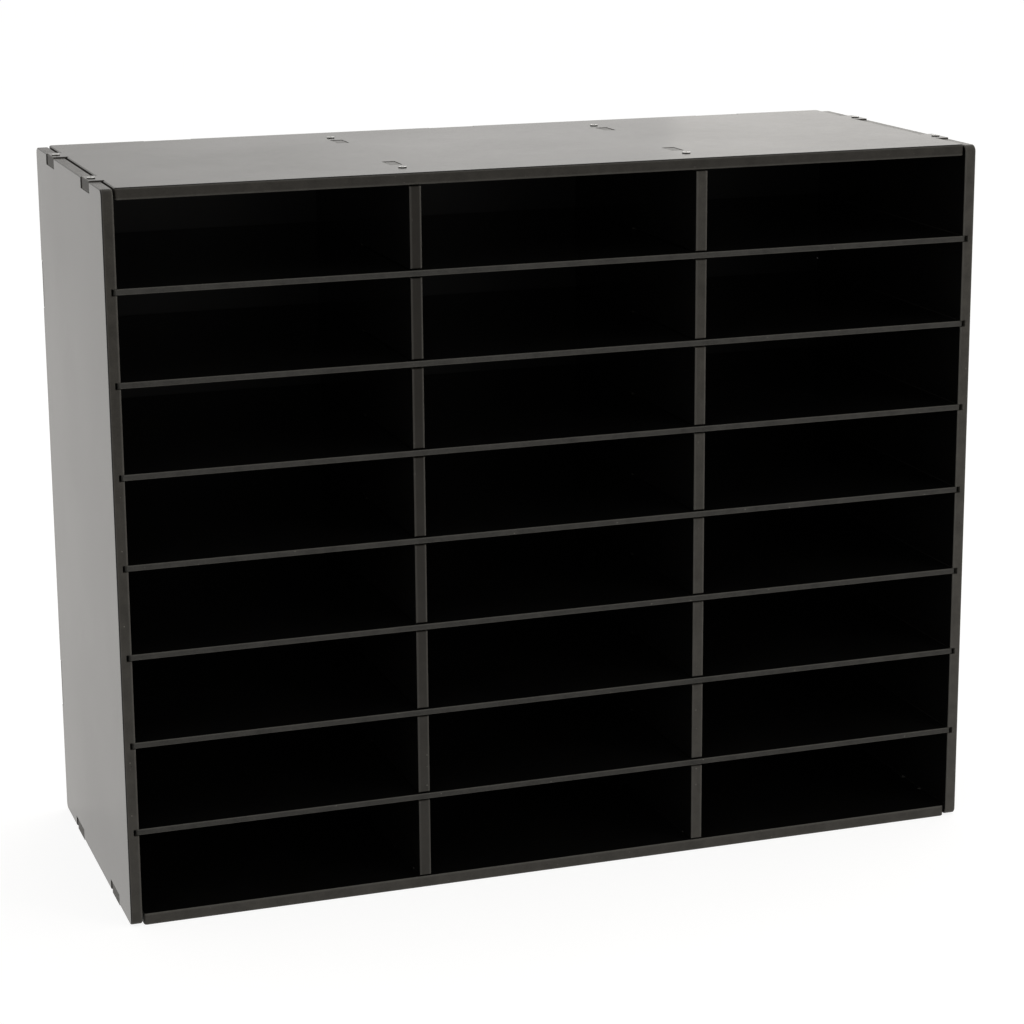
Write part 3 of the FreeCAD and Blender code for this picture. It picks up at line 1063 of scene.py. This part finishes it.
@dataclass
class Carcass:
    """The fixed boards, and the screws that hold them together, each driven to a turn of its own."""

    # How dark each board's cut edges are painted, partly as painted shade: the left boards and the top are
    # darker than the right ones and the bottom, where less light falls, and the left divider is darkest.
    side_edge_darkness: tuple[float, float] = (0.42, 0.08)
    top_edge_darkness: float = 0.58
    bottom_edge_darkness: float = 0.28
    divider_edge_darkness: tuple[float, float] = (0.88, 0.28)
    side_turn: float = 0.3
    divider_turn: float = 0.9
    back_turn: float = 0.5

    def boards(self) -> list[Board]:
        """List the carcass's boards, but for its back.

        Returns:
            The boards.
        """
        sides = [
            Board(f"side_panel_{hand}", CARCASS, Axis.ACROSS, Slot.BOARD, outward, edge_darkness)
            for hand, outward, edge_darkness in zip(("left", "right"), (-1, 1), self.side_edge_darkness)
        ]
        top = Board("top_panel", CARCASS, Axis.UPRIGHT, Slot.BOARD, 1, self.top_edge_darkness)
        bottom = Board("bottom_panel", CARCASS, Axis.UPRIGHT, Slot.BOARD, -1, self.bottom_edge_darkness)
        dividers = [
            Board(f"divider_{number}", CARCASS, Axis.ACROSS, Slot.BOARD, edge_darkness=edge_darkness)
            for number, edge_darkness in enumerate(self.divider_edge_darkness, start=1)
        ]
        return [*sides, top, bottom, *dividers]

    def screws(self) -> list[ScrewPair]:
        """List the carcass's pairs of screws.

        Returns:
            The pairs.
        """
        pairs = []
        numbers = range(1, len(self.divider_edge_darkness) + 1)
        for end, facing in (("top", Facing.UP), ("bottom", Facing.DOWN)):
            for place, hand in enumerate(("left", "right")):
                pairs.append(ScrewPair(f"{end}_side_screws_{hand}", facing, self.side_turn + place))
            for number in numbers:
                pairs.append(ScrewPair(f"{end}_divider_screws_{number}", facing, self.divider_turn * number))
        for number in numbers:
            pairs.append(ScrewPair(f"back_screws_{number}", Facing.REAR, self.back_turn * number))
        return pairs

    def build(self, finishes: Finishes) -> None:
        """Build every board and screw of the carcass.

        Args:
            finishes: The sorter's materials.
        """
        for board in self.boards():
            board.build(finishes.board)
        Board("back_panel", CARCASS, Axis.DEEP, Slot.BOARD).build(finishes.back)
        for pair in self.screws():
            pair.build(finishes.screw)


@dataclass
class Shelves:
    """The thin shelves, each on its own body, so that it can be drawn out at the front."""

    count: int = 7
    edge_round: float = 0.2 * MM

    def build(self, finishes: Finishes) -> None:
        """Build every shelf.

        Args:
            finishes: The sorter's materials.
        """
        for number in range(1, self.count + 1):
            name = f"shelf_{number}"
            shelf = Board(name, name, Axis.UPRIGHT, Slot.SHELF, edge_round=self.edge_round)
            shelf.build(finishes.shelf)


# ------------------------------------------------------------------------------------------------
# Studio


def seen_white(wiring: Wiring, warmth: Colour) -> tuple[Socket, Socket]:
    """Tell the rays that show the background (camera, gloss and glass), and its white for each.

    Args:
        wiring: The wiring of the material or the world.
        warmth: The warm white that gloss shows.

    Returns:
        The output that is one for such a ray, and the output that gives its white.
    """
    path = wiring.add("LightPath").outputs
    direct = wiring.maths("MAXIMUM", path["Is Camera Ray"], path["Is Glossy Ray"])
    white = wiring.blend(path["Is Glossy Ray"], WHITE, warmth)
    return wiring.maths("MAXIMUM", direct, path["Is Transmission Ray"]), white


@dataclass
class Floor:
    """A wide pale floor that keeps the sorter's soft shadow."""

    sky: float
    warmth: Colour
    radius: float = 14.0
    around: int = 96
    paper: Colour = (0.82, 0.82, 0.82, 1.0)
    paper_pale: Colour = (0.84, 0.84, 0.84, 1.0)
    mottle_scale: float = 3.0
    mottle_detail: float = 2.0
    shadow_share: float = 0.25

    def build(self) -> bpy.types.Object:
        """Build the floor.

        Returns:
            The floor's object.
        """
        bm = bmesh.new()
        bmesh.ops.create_circle(bm, cap_ends=True, segments=self.around, radius=self.radius)
        mesh = bpy.data.meshes.new("floor")
        bm.to_mesh(mesh)
        bm.free()
        mesh.materials.append(self._paper())
        floor = bpy.data.objects.new("floor", mesh)
        bpy.context.scene.collection.objects.link(floor)
        floor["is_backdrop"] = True
        return floor

    def _paper(self) -> bpy.types.Material:
        """Build the floor's pale paper, which shows white where no shadow falls.

        Returns:
            The material.
        """
        material, wiring, place = started("studio_paper")
        values = {"Vector": place, "Scale": self.mottle_scale, "Detail": self.mottle_detail}
        mottle = wiring.add("TexNoise", values).outputs[0]
        tone = wiring.blend(mottle, self.paper, self.paper_pale)
        lit = wiring.add("BsdfDiffuse", {"Color": tone}).outputs[0]
        share = self.shadow_share
        glow_strength = 1.0 - share * self.sky * min(self.warmth)
        seen, white = seen_white(wiring, self.warmth)
        shade = wiring.add("BsdfDiffuse", {"Color": (share, share, share, 1.0)}).outputs[0]
        glow = wiring.add("Emission", {"Color": white, "Strength": glow_strength}).outputs[0]
        both = wiring.add("AddShader", {0: shade, 1: glow}).outputs[0]
        shown(wiring, wiring.add("MixShader", {0: seen, 1: lit, 2: both}).outputs[0])
        return material


@dataclass
class Softbox:
    """A square area lamp that looks at a point. Unless it is glossy, gloss shows the white room instead."""

    name: str
    place: Place
    target: Place
    side: float
    watts: float
    glossy: bool = False
    warmth: tuple[float, float, float] = (1.0, 0.95, 0.88)

    def build(self) -> bpy.types.Object:
        """Hang the lamp.

        Returns:
            The lamp's object.
        """
        lamp = bpy.data.lights.new(self.name, "AREA")
        lamp.shape = "SQUARE"
        lamp.size = self.side
        lamp.energy = self.watts
        lamp.color = self.warmth
        hung = bpy.data.objects.new(self.name, lamp)
        hung.visible_glossy = self.glossy
        hung.location = self.place
        ahead = Vector(self.target) - Vector(self.place)
        hung.rotation_euler = ahead.to_track_quat("-Z", "Y").to_euler()
        bpy.context.scene.collection.objects.link(hung)
        return hung


@dataclass
class Camera:
    """The camera, by its place and turns, with its focal length in picture elements of a square picture."""

    place: Place = (-0.748701, -2.196836, 0.876406)
    yaw: float = 0.33098
    pitch: float = 0.234386
    roll: float = 0.007261
    focal_px: float = 2750.369
    picture_px: int = 1024
    sensor_mm: float = 36.0
    shift_up: float = -0.05

    def turns(self) -> Matrix:
        """Give the camera's own right, up and back as a turn.

        Returns:
            The turn.
        """
        flat = math.cos(self.pitch)
        ahead = Vector((math.sin(self.yaw) * flat, math.cos(self.yaw) * flat, -math.sin(self.pitch)))
        level = Vector((math.cos(self.yaw), -math.sin(self.yaw), 0.0))
        down = ahead.cross(level)
        right = level * math.cos(self.roll) + down * math.sin(self.roll)
        up = level * math.sin(self.roll) - down * math.cos(self.roll)
        return Matrix((right, up, -ahead)).transposed()

    def build(self) -> bpy.types.Object:
        """Set the camera up and make it the scene's own.

        Returns:
            The camera's object.
        """
        lens = bpy.data.cameras.new("camera")
        lens.sensor_width = self.sensor_mm
        lens.lens = self.focal_px / self.picture_px * self.sensor_mm
        lens.shift_y = self.shift_up
        camera = bpy.data.objects.new("camera", lens)
        camera.location = self.place
        camera.rotation_euler = self.turns().to_euler()
        bpy.context.scene.collection.objects.link(camera)
        bpy.context.scene.camera = camera
        return camera


@dataclass
class Studio:
    """The plain white room: world, floor, soft lamps and camera."""

    sky: float = 0.6
    warmth: Colour = (1.0, 0.98, 0.95, 1.0)
    dim_share: float = 0.22
    dim_behind: Span = (0.3, 0.7)
    dim_left: Span = (0.18, 0.3)
    front_target: Place = (0.0, 0.0, 0.25)
    top_target: Place = (0.0, 0.0, 0.6)
    rear_target: Place = (0.2, 0.1, 0.55)

    def lamps(self) -> list[Softbox]:
        """List the lamps: two in front, one above, and a weak one behind that gloss shows.

        Returns:
            The lamps.
        """
        return [
            Softbox("key_softbox", (2.9, -3.1, 0.85), self.front_target, side=1.6, watts=46.0),
            Softbox("fill_softbox", (-2.9, -2.2, 1.0), self.front_target, side=1.4, watts=9.0),
            Softbox("top_softbox", (0.5, 0.6, 3.1), self.top_target, side=1.6, watts=22.0),
            Softbox("rear_softbox", (2.6, 3.2, 1.35), self.rear_target, side=2.2, watts=2.8, glossy=True),
        ]

    def build(self) -> None:
        """Set up the room."""
        scene = bpy.context.scene
        scene.view_settings.view_transform = "Standard"
        scene.world = self._world()
        Floor(self.sky, self.warmth).build()
        lamps = self.lamps()
        for lamp in lamps:
            lamp.build()
        Camera().build()
        log.info("studio: floor, %d lamps and camera", len(lamps))

    def _world(self) -> bpy.types.World:
        """Build the room's even light, and the white that the camera, gloss and glass see in its place.

        Returns:
            The world.
        """
        world = bpy.data.worlds.new("studio")
        world.use_nodes = True
        world.node_tree.nodes.clear()
        wiring = Wiring(world.node_tree)
        light = wiring.add("Background", {"Color": self.warmth, "Strength": self.sky}).outputs[0]
        seen, white = seen_white(wiring, self.warmth)
        backdrop = wiring.add("Background", {"Color": white, "Strength": self._white_strength(wiring)})
        mixed = wiring.add("MixShader", {0: seen, 1: light, 2: backdrop.outputs[0]}).outputs[0]
        wiring.add("OutputWorld", {"Surface": mixed})
        return world

    def _white_strength(self, wiring: Wiring) -> Socket:
        """Give how strong the room's white is: one, but dimmer for gloss behind the sorter's left end.

        Args:
            wiring: The world's wiring.

        Returns:
            The output with the strength.
        """
        way = wiring.add("TexCoord").outputs["Generated"]
        behind = wiring.ramp(wiring.part(way, Axis.DEEP), self.dim_behind)
        left = wiring.ramp(wiring.part(way, Axis.ACROSS), self.dim_left, (1.0, 0.0))
        dim = wiring.times(wiring.times(behind, left), self.dim_share)
        glossy = wiring.add("LightPath").outputs["Is Glossy Ray"]
        return wiring.minus(1.0, wiring.times(dim, glossy))


def write_sizes() -> None:
    """Lay the solids' box and the finished pieces' box side by side, in a table that is not kept."""
    boxes = {"cad": CAD_BOX, "visual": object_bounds()}
    {name: [list(corner) for corner in box] for name, box in boxes.items()}


def main() -> None:
    """Build the studio, the carcass and the shelves in order."""
    logging.basicConfig(level=logging.INFO, format="%(message)s")
    Studio().build()
    finishes = Finishes.mixed(SharedEffects())
    Carcass().build(finishes)
    Shelves().build(finishes)
    write_sizes()


if __name__ == "__main__":
    main()
